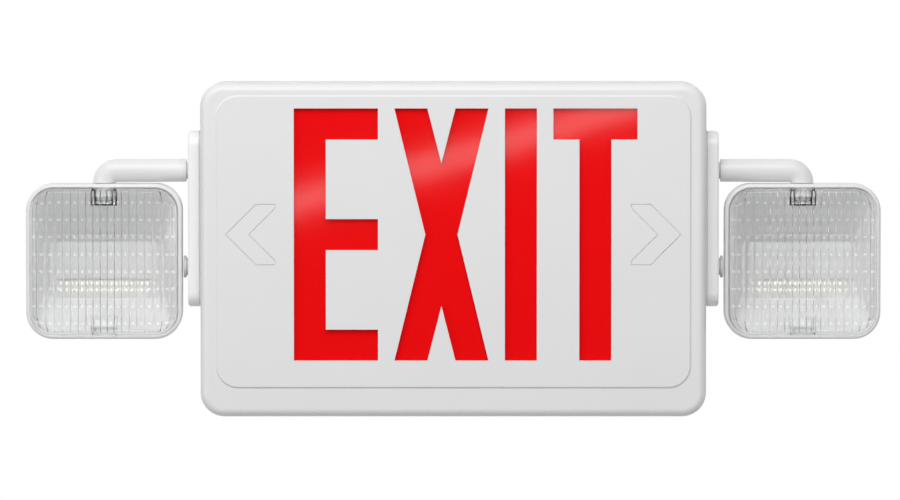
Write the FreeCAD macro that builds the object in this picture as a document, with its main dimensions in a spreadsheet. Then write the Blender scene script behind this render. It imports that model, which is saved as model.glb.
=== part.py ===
"""Combination exit sign with two swivelling lamp heads, for a wall.

Millimetres.  The origin is the centre of the back face, which lies on the
wall: +X is to the right, +Z is up and the front of the sign faces -Y.
Lengths named "out" are measured from the wall towards the front.
The right-hand pieces are modelled and the left-hand ones mirror them.
"""
import FreeCAD, Part
import os

import Sketcher
from FreeCAD import Placement, Rotation, Vector

doc = FreeCAD.newDocument("exit_sign")
sheet = doc.addObject("Spreadsheet::Sheet", "Sizes")

# ---------------------------------------------------------------- sizes
SIZES = [
    # the two halves of the housing
    ("housing_width", 306), ("housing_corner", 14.5),
    ("rear_depth", 40), ("cover_depth", 9), ("cover_inset", 0.4), ("cover_edge", 5), ("wall", 2.5),
    ("tongue_thick", 1.4), ("tongue_reach", 5), ("seam_gap", 0.2), ("notch_spread", 39),
    ("notch_width", 7), ("notch_deep", 1.6), ("notch_rise", 0.8),
    # the raised panel with its legend and its two arrow knock-outs
    ("panel_side", 9.4), ("panel_top", 7.5), ("panel_bottom", 17.7), ("panel_corner", 13.5),
    ("panel_rise", 1), ("panel_edge", 0.9), ("legend_top", 15.4), ("legend_bottom", 34.4),
    ("legend_left", 96.3), ("letter_height", 152.4), ("letter_width", 50.8),
    ("stroke", 19.3), ("arm_stroke", 18.8), ("letter_space", 9.9), ("cross_width", 56.8),
    ("cross_waist", 19.4), ("cross_mouth", 17),
    ("cross_apex", 43.1), ("arrow_side", 15.2), ("arrow_stroke", 14.8), ("arrow_long", 30.6),
    ("arrow_half", 18.6), ("score_width", 0.6), ("score_deep", 0.6), ("knockout_deep", 1.2),
    # the red lens, the light tray behind it and its two rows of chips
    ("lens_side", 11), ("lens_margin", 6.5), ("lens_thick", 2), ("lens_corner", 6),
    ("tray_deep", 17), ("tray_wall", 1.6), ("strip_length", 250), ("strip_width", 10),
    ("strip_thick", 1.2), ("chip_pitch", 25), ("chip_size", 3.5), ("chip_high", 1.8),
    ("chip_count", 10),
    # fixing to the wall
    ("entry_dia", 22.2), ("box_spacing", 88.9), ("box_hole", 5), ("key_spacing", 200),
    ("key_up", 60), ("key_head", 9), ("key_slot", 4.6), ("key_drop", 8), ("knockout_dia", 22.2),
    # side plates, their two sockets and the swivel fit
    ("plate_thick", 7.8), ("plate_width", 28), ("plate_height", 106.4), ("plate_up", 18.1),
    ("plate_corner", 9), ("plate_edge", 1.2), ("plate_foot", 1), ("plate_inset", 1.2),
    ("axis_out", 22), ("socket_half", 29.2), ("spigot_dia", 10), ("swivel_fit", 0.05),
    ("neck", 1.3), ("pan_gap", 0.3), ("tube_dia", 13.8), ("elbow_bend", 7.5), ("wireway", 6),
    ("clip_dia", 13), ("clip_thick", 1.2), ("clip_seat", 8), ("seat_fit", 0.1),
    ("spigot_tail", 2), ("plug_dia", 13.4), ("plug_reach", 2.9), ("plug_tail", 1.5),
    ("screw_dia", 3), ("screw_head", 6), ("screw_head_high", 2), ("screw_bite", 4.5),
    ("screw_fit", 0.2), ("screw_end", 0.5),
    # lamp heads
    ("head_gap", 0.8), ("head_width", 94.7), ("head_height", 94.3), ("head_corner", 16.5),
    ("head_half_deep", 9.5), ("head_edge", 2), ("head_wall", 2.2), ("back_deep", 8.5),
    ("back_inset", 5), ("rim_side", 2.5), ("rim_top", 2.4), ("rim_bottom", 2.6),
    ("collar_dia", 13.6), ("collar_high", 6), ("lamp_lens_proud", 6), ("lamp_lens_edge", 1.2),
    ("lamp_lens_wall", 1.8), ("lens_skirt", 2.5), ("lens_fit", 0.15), ("flute_count", 17),
    ("flute_pitch", 4.9), ("flute_deep", 0.7), ("dish_wall", 1.5), ("dish_in", 3),
    ("dish_corner", 11), ("dish_deep", 18.5), ("dish_back_side", 11), ("dish_back_top", 33),
    ("dish_back_bottom", 20.6), ("dish_back_corner", 6), ("flange_fit", 0.6), ("dish_slot", 15),
    ("dish_slot_high", 10.5), ("dish_slot_deep", 8), ("window_width", 56),
    ("window_high", 9), ("window_down", 16.1), ("lamp_board_width", 64), ("lamp_board_high", 16),
    ("lamp_board_thick", 1), ("lamp_chip", 3.5), ("lamp_chip_high", 1.4),
    ("lamp_chip_pitch", 9.5), ("lamp_chip_count", 6),
    # charger board and what stands on it
    ("post_size", 7), ("post_high", 6), ("board_side", 31), ("board_width", 104),
    ("board_up", 7), ("board_high", 62), ("board_thick", 1.6), ("board_margin", 4),
    ("core_left", 8), ("core_bottom", 30), ("core_width", 30), ("core_high", 26),
    ("core_deep", 13), ("core_yoke", 4), ("coil_width", 18), ("coil_deep", 9),
    ("block_left", 46), ("block_bottom", 49), ("block_width", 27), ("block_high", 11),
    ("block_deep", 11), ("block_ways", 3), ("block_hole", 5), ("can_dia", 8), ("can_high", 12),
    ("can_left", 52), ("can_bottom", 35), ("can_pitch", 11), ("relay_left", 78),
    ("relay_bottom", 28), ("relay_width", 15), ("relay_high", 10), ("relay_deep", 9),
    # battery pack and its strap
    ("cell_dia", 14.5), ("cell_length", 50), ("cell_count", 4), ("battery_side", 33),
    ("battery_up", 18), ("cell_fit", 0.3), ("cradle_thick", 1.7), ("cradle_high", 9),
    ("strap_width", 14), ("strap_thick", 0.8), ("strap_foot", 9),
    # test button and pilot lamp under the housing
    ("button_along", 60), ("button_out", 18), ("button_dia", 8), ("button_fit", 0.1),
    ("button_sink", 0.5), ("button_flange", 11.4), ("button_flange_thick", 1.2),
    ("stem_dia", 3), ("stem_bite", 4), ("switch_gap", 5), ("switch_width", 11),
    ("switch_high", 10), ("switch_front", 5), ("switch_bore_deep", 7), ("pilot_along", 80),
    ("pilot_dia", 6), ("pilot_flange", 9), ("pilot_flange_thick", 1), ("pilot_lamp_dia", 3),
    ("pilot_lamp_long", 5), ("pilot_base", 4),
]
for row, (name, value) in enumerate(SIZES, start=1):
    sheet.set(f"A{row}", name)
    sheet.set(f"B{row}", str(value))
    sheet.setAlias(f"B{row}", name)
doc.recompute()

# sizes and places that follow from the driving sizes
PLACES = {
    "housing_height": "letter_height + legend_top + legend_bottom",
    "legend_up": "(legend_bottom - legend_top) / 2",
    "arrow_tip": "housing_width / 2 - arrow_side",
    "arrow_notch": "arrow_tip - arrow_stroke",
    "arrow_root": "arrow_tip - arrow_long",
    "board_left": "housing_width / 2 - board_side - board_width",
    "board_bottom": "housing_height / 2 - board_up",
    "battery_left": "housing_width / 2 - battery_side",
    "battery_bottom": "housing_height / 2 - battery_up",
    "button_right": "board_left + button_along",
    "pilot_right": "board_left + pilot_along",
}
NAMES = {name for name, value in SIZES}


def sheet_terms(text):
    """Turn the size and place names in an expression into references to the sheet."""
    words = []
    word = ""
    for letter in text + " ":
        if letter.isalnum() or letter in "_.":
            word += letter
            continue
        if word in PLACES:
            word = f"({sheet_terms(PLACES[word])})"
        elif word in NAMES:
            word = "Sizes." + word
        words += [word, letter]
        word = ""
    return "".join(words).strip()


def size(text):
    """The present value of an expression of size names, in millimetres."""
    return float(sheet.evalExpression(sheet_terms(text)))


def bind(item, prop, text):
    item.setExpression(prop, sheet_terms(text))


# ------------------------------------------------------ sketches and features
def new_body(label):
    body = doc.addObject("PartDesign::Body", label)
    body.Label = label
    doc.recompute()
    return body


def new_sketch(body, role, offset="0"):
    """A sketch on one of the body's own origin planes, moved along its normal."""
    plane = [item for item in body.Origin.OriginFeatures if item.Role == role][0]
    sketch = body.newObject("Sketcher::SketchObject", body.Label + "_sketch")
    sketch.AttachmentSupport = [(plane, "")]
    sketch.MapMode = "FlatFace"
    bind(sketch, "AttachmentOffset.Base.z", offset)
    doc.recompute()
    return sketch


def pin_point(sketch, piece, end, across, up):
    """Hold one point of a sketch at two bound coordinates."""
    for kind, text in (("DistanceX", across), ("DistanceY", up)):
        index = sketch.addConstraint(Sketcher.Constraint(kind, -1, 1, piece, end, size(text)))
        sketch.renameConstraint(index, f"{kind}_{index}")
        bind(sketch, f"Constraints.{kind}_{index}", text)


def draw_outline(sketch, points):
    """A closed run of straight lines through bound points."""
    places = [Vector(size(across), size(up), 0) for across, up in points]
    lines = []
    for index, start in enumerate(places):
        end = places[(index + 1) % len(places)]
        lines.append(sketch.addGeometry(Part.LineSegment(start, end), False))
    for index, line in enumerate(lines):
        following = lines[(index + 1) % len(lines)]
        sketch.addConstraint(Sketcher.Constraint("Coincident", line, 2, following, 1))
        pin_point(sketch, line, 1, *points[index])


def draw_circle(sketch, across, up, diameter):
    centre = Vector(size(across), size(up), 0)
    radius = size(diameter) / 2
    circle = sketch.addGeometry(Part.Circle(centre, Vector(0, 0, 1), radius), False)
    pin_point(sketch, circle, 3, across, up)
    index = sketch.addConstraint(Sketcher.Constraint("Radius", circle, radius))
    sketch.renameConstraint(index, f"radius_{index}")
    bind(sketch, f"Constraints.radius_{index}", f"({diameter}) / 2")


def draw_rounded(sketch, across, up, width, height, corner):
    """A rectangle about a centre, with four tangent corner arcs."""
    half_w = size(width) / 2
    half_h = size(height) / 2
    round_r = size(corner)
    middle = Vector(size(across), size(up), 0)
    quarter = 1.5707963267948966
    arcs = []
    lines = []
    for turn, (sx, sz) in enumerate(((1, 1), (-1, 1), (-1, -1), (1, -1))):
        centre = middle + Vector(sx * (half_w - round_r), sz * (half_h - round_r), 0)
        circle = Part.Circle(centre, Vector(0, 0, 1), round_r)
        arc = Part.ArcOfCircle(circle, turn * quarter, (turn + 1) * quarter)
        arcs.append(sketch.addGeometry(arc, False))
    for turn in range(4):
        start = sketch.Geometry[arcs[turn]].EndPoint
        end = sketch.Geometry[arcs[(turn + 1) % 4]].StartPoint
        lines.append(sketch.addGeometry(Part.LineSegment(start, end), False))
    for turn in range(4):
        following = arcs[(turn + 1) % 4]
        sketch.addConstraint(Sketcher.Constraint("Tangent", arcs[turn], 2, lines[turn], 1))
        sketch.addConstraint(Sketcher.Constraint("Tangent", lines[turn], 2, following, 1))
        if turn:
            sketch.addConstraint(Sketcher.Constraint("Equal", arcs[0], arcs[turn]))
    sketch.addConstraint(Sketcher.Constraint("Horizontal", lines[0]))
    sketch.addConstraint(Sketcher.Constraint("Vertical", lines[1]))
    sketch.addConstraint(Sketcher.Constraint("Horizontal", lines[2]))
    sketch.addConstraint(Sketcher.Constraint("Vertical", lines[3]))
    pin_point(sketch, arcs[0], 3, f"{across} + ({width}) / 2 - ({corner})",
              f"{up} + ({height}) / 2 - ({corner})")
    pin_point(sketch, arcs[2], 3, f"{across} - ({width}) / 2 + ({corner})",
              f"{up} - ({height}) / 2 + ({corner})")
    index = sketch.addConstraint(Sketcher.Constraint("Radius", arcs[0], round_r))
    sketch.renameConstraint(index, f"corner_{index}")
    bind(sketch, f"Constraints.corner_{index}", corner)


def draw_box(sketch, left, bottom, width, height):
    """A rectangle from its lower left corner."""
    right = f"{left} + {width}"
    top = f"{bottom} + {height}"
    draw_outline(sketch, [(left, bottom), (right, bottom), (right, top), (left, top)])


def pad(body, sketch, length, reverse=False, both=False):
    """Raise the sketch along its normal, or away from it."""
    feature = body.newObject("PartDesign::Pad", body.Label + "_pad")
    feature.Profile = sketch
    feature.Reversed = reverse
    feature.Midplane = both
    bind(feature, "Length", length)
    doc.recompute()
    return feature


def pocket(body, sketch, length, reverse=False, both=False):
    """Cut the sketch against its normal, or along it."""
    before = body.Shape.Volume
    feature = body.newObject("PartDesign::Pocket", body.Label + "_pocket")
    feature.Profile = sketch
    feature.Reversed = reverse
    feature.Midplane = both
    bind(feature, "Length", length)
    doc.recompute()
    if not body.Shape.Volume < before:
        raise ValueError(f"{body.Label}: a pocket removed nothing")
    return feature


def edges_where(shape, test):
    """Names of the edges whose bounding box centre passes a test."""
    names = []
    for index, edge in enumerate(shape.Edges, start=1):
        if test(edge.BoundBox.Center, edge):
            names.append(f"Edge{index}")
    return names


def fillet(body, names, radius):
    base = body.Tip
    feature = body.newObject("PartDesign::Fillet", body.Label + "_fillet")
    feature.Base = (base, names)
    bind(feature, "Radius", radius)
    doc.recompute()
    return feature


def chamfer(body, names, length):
    base = body.Tip
    feature = body.newObject("PartDesign::Chamfer", body.Label + "_chamfer")
    feature.Base = (base, names)
    bind(feature, "Size", length)
    doc.recompute()
    return feature


# ------------------------------------------------------- primitives and sets
def place(item, across, out, up, axis=None):
    """Bind a primitive's place; its own Z turns to the given axis."""
    if axis == "X":
        item.Placement = Placement(Vector(), Rotation(Vector(0, 1, 0), 90))
    if axis == "front":
        item.Placement = Placement(Vector(), Rotation(Vector(1, 0, 0), 90))
    bind(item, "Placement.Base.x", across)
    bind(item, "Placement.Base.y", f"-({out})")
    bind(item, "Placement.Base.z", up)
    return item


def block(name, across, out, up, width, deep, height):
    """A box from its left, wall-side and lower faces; deep runs to the front."""
    item = doc.addObject("Part::Box", name)
    bind(item, "Length", width)
    bind(item, "Width", deep)
    bind(item, "Height", height)
    return place(item, across, f"({out}) + ({deep})", up)


def rod(name, diameter, length, across, out, up, axis=None):
    """A cylinder that starts at the place and runs up, right or to the front."""
    item = doc.addObject("Part::Cylinder", name)
    bind(item, "Radius", f"({diameter}) / 2")
    bind(item, "Height", length)
    return place(item, across, out, up, axis)


def joined(name, items):
    item = doc.addObject("Part::MultiFuse", name)
    item.Shapes = items
    item.Refine = True
    return item


def less(name, base, tools):
    item = doc.addObject("Part::Cut", name)
    item.Base = base
    item.Tool = tools[0] if len(tools) == 1 else joined(name + "_tools", tools)
    item.Refine = True
    return item


def shared(name, first, second):
    item = doc.addObject("Part::Common", name)
    item.Base = first
    item.Tool = second
    return item


def group(name, items):
    """Separate solids of one kind that share a node."""
    item = doc.addObject("Part::Compound", name)
    item.Links = items
    return item


def mirrored(name, source):
    """The left-hand copy of a right-hand piece."""
    item = doc.addObject("Part::Mirroring", name)
    item.Source = source
    item.Base = Vector(0, 0, 0)
    item.Normal = Vector(1, 0, 0)
    return item


parts = {}


def finished(name, item):
    item.Label = name
    parts[name] = item
    return item


# places that several pieces share
SIDE = "(housing_width / 2)"
WALL_INNER = "(housing_width / 2 - wall)"
PLATE_FACE = "(housing_width / 2 + plate_thick)"
UPPER_SOCKET = "(plate_up + socket_half)"
LOWER_SOCKET = "(plate_up - socket_half)"
FRONT = "(rear_depth + cover_depth)"
LENS_BACK = "(rear_depth + cover_depth + panel_rise - wall - lens_thick)"
TRAY_BACK = "(rear_depth + cover_depth + panel_rise - wall - lens_thick - tray_deep)"
LENS_WIDTH = "(housing_width - 2 * lens_side)"
LENS_HEIGHT = "(letter_height + 2 * lens_margin)"
BOARD_OUT = "(wall + post_high)"
BOARD_FACE = "(wall + post_high + board_thick)"
FLOOR = "(-housing_height / 2)"
PAN = "(housing_width / 2 + plate_thick + plug_reach + head_gap + head_width / 2)"
HEAD_TOP = "(plate_up + socket_half - elbow_bend - pan_gap)"
HEAD_UP = "(plate_up + socket_half - elbow_bend - pan_gap - head_height / 2)"
HEAD_FRONT = "(axis_out + head_half_deep)"
HEAD_BACK = "(axis_out - head_half_deep)"
LAMP_LENS_WIDTH = "(head_width - 2 * rim_side)"
LAMP_LENS_HEIGHT = "(head_height - rim_top - rim_bottom)"
LAMP_LENS_UP = f"({HEAD_UP} + (rim_bottom - rim_top) / 2)"
COLLAR_LOW = f"({LAMP_LENS_UP} + {LAMP_LENS_HEIGHT} / 2 + lens_fit - collar_high)"
SOCKET_BORE = "(spigot_dia + 2 * swivel_fit)"
STACK = "(seat_fit + clip_thick + spigot_tail)"


# ------------------------------------------------------------- rear housing
def make_rear_housing():
    """A deep tray moulded with its posts, sockets, knock-outs and wall holes."""
    body = new_body("rear_housing")
    shell = new_sketch(body, "XZ_Plane")
    draw_rounded(shell, "0", "0", "housing_width", "housing_height", "housing_corner")
    pad(body, shell, "rear_depth")

    hollow = new_sketch(body, "XZ_Plane", "rear_depth")
    draw_rounded(hollow, "0", "0", "housing_width - 2 * wall", "housing_height - 2 * wall",
                 "housing_corner - wall")
    pocket(body, hollow, "rear_depth - wall")

    posts = new_sketch(body, "XZ_Plane", "wall")
    for across, up in board_corners() + strap_feet():
        draw_box(posts, f"{across} - post_size / 2", f"{up} - post_size / 2", "post_size",
                 "post_size")
    pad(body, posts, "post_high")

    pilots = new_sketch(body, "XZ_Plane", "wall + post_high")
    for across, up in board_holes() + strap_feet():
        draw_circle(pilots, across, up, "screw_dia - 2 * screw_fit")
    pocket(body, pilots, "post_high")

    cradle = new_sketch(body, "XZ_Plane", "wall")
    for up in ("-battery_bottom - cell_fit - cradle_thick",
               "-battery_bottom + cell_length + cell_fit"):
        draw_box(cradle, "-battery_left", up, "cell_dia * cell_count", "cradle_thick")
    pad(body, cradle, "cradle_high")

    openings = new_sketch(body, "XZ_Plane", "wall")
    draw_circle(openings, "0", "0", "entry_dia")
    for side in ("-", ""):
        draw_circle(openings, f"{side}box_spacing / 2", "0", "box_hole")
    pocket(body, openings, "wall")

    for side in ("-", ""):
        slot = new_sketch(body, "XZ_Plane", "wall")
        draw_rounded(slot, f"{side}key_spacing / 2", "key_up + key_drop / 2", "key_slot",
                     "key_drop + key_slot", "key_slot / 2 - seat_fit")
        pocket(body, slot, "wall")
        entry = new_sketch(body, "XZ_Plane", "wall")
        draw_circle(entry, f"{side}key_spacing / 2", "key_up", "key_head")
        pocket(body, entry, "wall")

    sockets = new_sketch(body, "YZ_Plane")
    for up in (UPPER_SOCKET, LOWER_SOCKET):
        draw_circle(sockets, "-axis_out", up, SOCKET_BORE)
    draw_circle(sockets, "-axis_out", "plate_up", "screw_dia + 2 * screw_fit")
    pocket(body, sockets, "housing_width + 2 * wall", both=True)

    knockout = new_sketch(body, "XY_Plane", "housing_height / 2")
    draw_circle(knockout, "0", "-axis_out", "knockout_dia + 2 * score_width")
    draw_circle(knockout, "0", "-axis_out", "knockout_dia")
    pocket(body, knockout, "knockout_deep")

    notches = new_sketch(body, "XZ_Plane", "rear_depth")
    for side in ("-", ""):
        draw_box(notches, f"{side}notch_spread - notch_width / 2",
                 "housing_height / 2 - notch_rise", "notch_width", "2 * notch_rise")
    pocket(body, notches, "notch_deep")

    under = new_sketch(body, "XY_Plane", FLOOR)
    draw_circle(under, "button_right", "-button_out", "button_dia + 2 * button_fit")
    draw_circle(under, "pilot_right", "-button_out", "pilot_dia + 2 * button_fit")
    pocket(body, under, "wall", reverse=True)
    return body


def board_corners():
    left = "board_left + board_margin"
    right = "board_left + board_width - board_margin"
    low = "-board_bottom + board_margin"
    high = "-board_bottom + board_high - board_margin"
    return [(left, low), (right, low), (right, high), (left, high)]


def board_holes():
    """Two opposite corners take screws; the other two only rest on their posts."""
    return board_corners()[::2]


def strap_feet():
    left = "-battery_left - strap_foot / 2 - cell_fit"
    right = "-battery_left + cell_dia * cell_count + strap_foot / 2 + cell_fit"
    middle = "-battery_bottom + cell_length / 2"
    return [(left, middle), (right, middle)]


# -------------------------------------------------------------- front cover
def letter_outlines():
    """The four block letters as closed outlines, read from left to right."""
    top = "legend_up + letter_height / 2"
    low = "legend_up - letter_height / 2"
    left = "-legend_left"
    e_stem = f"{left} + stroke"
    e_right = f"{left} + letter_width"
    letter_e = [(left, low), (e_right, low), (e_right, f"{low} + arm_stroke"),
                (e_stem, f"{low} + arm_stroke"), (e_stem, "legend_up - arm_stroke / 2"),
                (e_right, "legend_up - arm_stroke / 2"), (e_right, "legend_up + arm_stroke / 2"),
                (e_stem, "legend_up + arm_stroke / 2"), (e_stem, f"{top} - arm_stroke"),
                (e_right, f"{top} - arm_stroke"), (e_right, top), (left, top)]
    middle = f"{left} + letter_width + letter_space + cross_width / 2"
    letter_x = [(f"{middle} - cross_width / 2", low), (f"{middle} - cross_mouth / 2", low),
                (middle, "legend_up - cross_apex"), (f"{middle} + cross_mouth / 2", low),
                (f"{middle} + cross_width / 2", low), (f"{middle} + cross_waist / 2", "legend_up"),
                (f"{middle} + cross_width / 2", top), (f"{middle} + cross_mouth / 2", top),
                (middle, "legend_up + cross_apex"), (f"{middle} - cross_mouth / 2", top),
                (f"{middle} - cross_width / 2", top), (f"{middle} - cross_waist / 2", "legend_up")]
    i_left = f"{middle} + cross_width / 2 + letter_space"
    letter_i = [(i_left, low), (f"{i_left} + stroke", low), (f"{i_left} + stroke", top),
                (i_left, top)]
    t_left = f"{i_left} + stroke + letter_space"
    t_stem = f"{t_left} + letter_width / 2"
    letter_t = [(f"{t_stem} - stroke / 2", low), (f"{t_stem} + stroke / 2", low),
                (f"{t_stem} + stroke / 2", f"{top} - arm_stroke"),
                (f"{t_left} + letter_width", f"{top} - arm_stroke"),
                (f"{t_left} + letter_width", top), (t_left, top),
                (t_left, f"{top} - arm_stroke"), (f"{t_stem} - stroke / 2", f"{top} - arm_stroke")]
    return [letter_e, letter_x, letter_i, letter_t]


def arrow_outline(side, inset):
    """A chevron pointing away from the legend, drawn in by an inset."""
    slant = 2 ** 0.5
    tip = f"arrow_tip - {slant} * {inset}"
    notch = f"arrow_notch + {slant} * {inset}"
    high = f"arrow_half - {inset}"
    end = f"arrow_tip - arrow_half - {slant - 1} * {inset}"
    root = f"arrow_root + {inset}"
    step = f"arrow_notch - arrow_root + {slant - 1} * {inset}"
    half = [(end, high), (root, high), (root, step)]
    points = [(tip, "0")] + half + [(notch, "0")]
    points += [(across, f"-({up})") for across, up in reversed(half)]
    return [(f"{side}({across})", f"legend_up + ({up})") for across, up in points]


def make_front_cover():
    """A shallow lid; its raised panel is cut through for the legend and seats the lens."""
    body = new_body("front_cover")
    lid = new_sketch(body, "XZ_Plane", "rear_depth")
    draw_rounded(lid, "0", "0", "housing_width - 2 * cover_inset",
                 "housing_height - 2 * cover_inset", "housing_corner - cover_inset")
    pad(body, lid, "cover_depth")
    front = -size(FRONT)
    rim = edges_where(body.Shape, lambda middle, edge: abs(middle.y - front) < 0.01)
    fillet(body, rim, "cover_edge")

    tongue = new_sketch(body, "XZ_Plane", "rear_depth")
    draw_rounded(tongue, "0", "0", "housing_width - 2 * (wall + seam_gap)",
                 "housing_height - 2 * (wall + seam_gap)", "housing_corner - wall - seam_gap")
    pad(body, tongue, "tongue_reach", reverse=True)

    hollow = new_sketch(body, "XZ_Plane", "rear_depth - tongue_reach")
    inset = "(wall + seam_gap + tongue_thick)"
    draw_rounded(hollow, "0", "0", f"housing_width - 2 * {inset}",
                 f"housing_height - 2 * {inset}", f"housing_corner - {inset}")
    pocket(body, hollow, "tongue_reach + cover_depth - wall", reverse=True)

    panel = new_sketch(body, "XZ_Plane", FRONT)
    draw_rounded(panel, "0", "(panel_bottom - panel_top) / 2", "housing_width - 2 * panel_side",
                 "housing_height - panel_top - panel_bottom", "panel_corner")
    pad(body, panel, "panel_rise")
    rim = edges_where(body.Shape, lambda middle, edge: edge.BoundBox.YMax < front - 0.01)
    chamfer(body, rim, "panel_edge")

    seat = new_sketch(body, "XZ_Plane", f"{FRONT} - wall")
    draw_rounded(seat, "0", "legend_up", f"{LENS_WIDTH} + 2 * seat_fit",
                 f"{LENS_HEIGHT} + 2 * seat_fit", "lens_corner + seat_fit")
    pocket(body, seat, "panel_rise", reverse=True)

    for letter in letter_outlines():
        legend = new_sketch(body, "XZ_Plane", f"{FRONT} + panel_rise")
        draw_outline(legend, letter)
        pocket(body, legend, "wall + panel_rise")

    for side in ("-", ""):
        score = new_sketch(body, "XZ_Plane", f"{FRONT} + panel_rise")
        draw_outline(score, arrow_outline(side, "0"))
        draw_outline(score, arrow_outline(side, "score_width"))
        pocket(body, score, "score_deep")
    return body


# ------------------------------------------------ lens, tray and lamp strips
def make_exit_lens():
    body = new_body("exit_lens")
    plate = new_sketch(body, "XZ_Plane", LENS_BACK)
    draw_rounded(plate, "0", "legend_up", LENS_WIDTH, LENS_HEIGHT, "lens_corner")
    pad(body, plate, "lens_thick")
    return body


def make_light_tray():
    """A white open box that spreads the light over the back of the lens."""
    body = new_body("light_tray")
    box = new_sketch(body, "XZ_Plane", TRAY_BACK)
    draw_rounded(box, "0", "legend_up", LENS_WIDTH, LENS_HEIGHT, "lens_corner")
    pad(body, box, "tray_deep")
    hollow = new_sketch(body, "XZ_Plane", LENS_BACK)
    draw_rounded(hollow, "0", "legend_up", f"{LENS_WIDTH} - 2 * tray_wall",
                 f"{LENS_HEIGHT} - 2 * tray_wall", "lens_corner - tray_wall")
    pocket(body, hollow, "tray_deep - tray_wall")
    return body


def make_strip(name, sense):
    """One lamp strip lies on the tray's upper or lower wall; its chips face in."""
    inner = f"legend_up {sense} ({LENS_HEIGHT} / 2 - tray_wall)"
    low = f"{inner} - strip_thick" if sense == "+" else inner
    board = block(name + "_board", "-strip_length / 2",
                  f"{LENS_BACK} - tray_deep / 2 - strip_width / 2", low,
                  "strip_length", "strip_width", "strip_thick")
    finished("letter_board_" + name, board)
    chip_low = f"{low} - chip_high" if sense == "+" else f"{low} + strip_thick"
    chips = []
    for index in range(int(size("chip_count"))):
        across = f"({index} - (chip_count - 1) / 2) * chip_pitch - chip_size / 2"
        chips.append(block(f"{name}_chip", across,
                           f"{LENS_BACK} - tray_deep / 2 - chip_size / 2", chip_low,
                           "chip_size", "chip_size", "chip_high"))
    finished("letter_leds_" + name, group(name + "_chips", chips))


# ---------------------------------------------------------------- side plate
def make_side_plate():
    """A moulded pad with two sockets; its foot is set in for a shadow line."""
    body = new_body("side_plate_right")
    foot = new_sketch(body, "YZ_Plane", SIDE)
    draw_rounded(foot, "-axis_out", "plate_up", "plate_width - 2 * plate_inset",
                 "plate_height - 2 * plate_inset", "plate_corner - plate_inset")
    pad(body, foot, "plate_thick")
    cap = new_sketch(body, "YZ_Plane", f"{SIDE} + plate_foot")
    draw_rounded(cap, "-axis_out", "plate_up", "plate_width", "plate_height", "plate_corner")
    pad(body, cap, "plate_thick - plate_foot")
    face = size(PLATE_FACE)
    rim = edges_where(body.Shape, lambda middle, edge: abs(edge.BoundBox.XMin - face) < 0.01)
    chamfer(body, rim, "plate_edge")
    sockets = new_sketch(body, "YZ_Plane", PLATE_FACE)
    for up in (UPPER_SOCKET, LOWER_SOCKET):
        draw_circle(sockets, "-axis_out", up, SOCKET_BORE)
    pocket(body, sockets, "plate_thick")
    pilots = new_sketch(body, "YZ_Plane", SIDE)
    draw_circle(pilots, "-axis_out", "plate_up", "screw_dia - 2 * screw_fit")
    pocket(body, pilots, "screw_bite", reverse=True)
    return body


def make_screw(name, across, out, up, axis, grip):
    """A hex-head screw: the head seats at the place, the shank goes on into the post."""
    shank_dia = "screw_dia - 2 * screw_fit"
    head = doc.addObject("Part::Prism", name + "_head")
    head.Polygon = 6
    bind(head, "Circumradius", "screw_head / 2")
    bind(head, "Height", "screw_head_high")
    if axis == "X":
        place(head, f"({across}) - screw_head_high", out, up, "X")
        shank = rod(name + "_shank", shank_dia, grip, across, out, up, "X")
    else:
        place(head, across, out, up, "front")
        shank = rod(name + "_shank", shank_dia, grip, across, f"({out}) - ({grip})", up, "front")
    return joined(name, [head, shank])


def make_plate_screw():
    return make_screw("plate_screw", WALL_INNER, "axis_out", "plate_up", "X",
                      "wall + screw_bite - screw_end")


def make_blank_plug():
    """The push-in plug that closes the socket that the arm doesn't use."""
    tail = "plate_thick + wall + plug_tail"
    shank = rod("plug_shank", "spigot_dia", f"{tail} + neck", f"{PLATE_FACE} - ({tail})",
                "axis_out", LOWER_SOCKET, "X")
    cap = rod("plug_cap", "plug_dia", "plug_reach - neck", f"{PLATE_FACE} + neck",
              "axis_out", LOWER_SOCKET, "X")
    return joined("plug", [shank, cap])


# ---------------------------------------------------------------------- arm
def quarter_bend(name, diameter):
    """A quarter ring that turns from the side plate's axis down to the pan axis."""
    ring = doc.addObject("Part::Torus", name)
    ring.Angle3 = 90
    bind(ring, "Radius1", "elbow_bend")
    bind(ring, "Radius2", f"({diameter}) / 2")
    return place(ring, f"{PAN} - elbow_bend", "axis_out", f"{UPPER_SOCKET} - elbow_bend", "front")


def clip_notches(name, across, up, axis):
    """Two flats cut across a spigot near its end, one each side of its clip's slot."""
    cuts = []
    for side in ("-", "+"):
        middle = f"{side} (clip_seat / 2 + clip_dia / 2)"
        if axis == "X":
            cuts.append(block(name, across, "axis_out - clip_dia / 2",
                              f"{up} {middle} - clip_dia / 2",
                              "clip_thick", "clip_dia", "clip_dia"))
        else:
            cuts.append(block(name, f"{across} {middle} - clip_dia / 2",
                              "axis_out - clip_dia / 2", up,
                              "clip_dia", "clip_dia", "clip_thick"))
    return cuts


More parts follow.
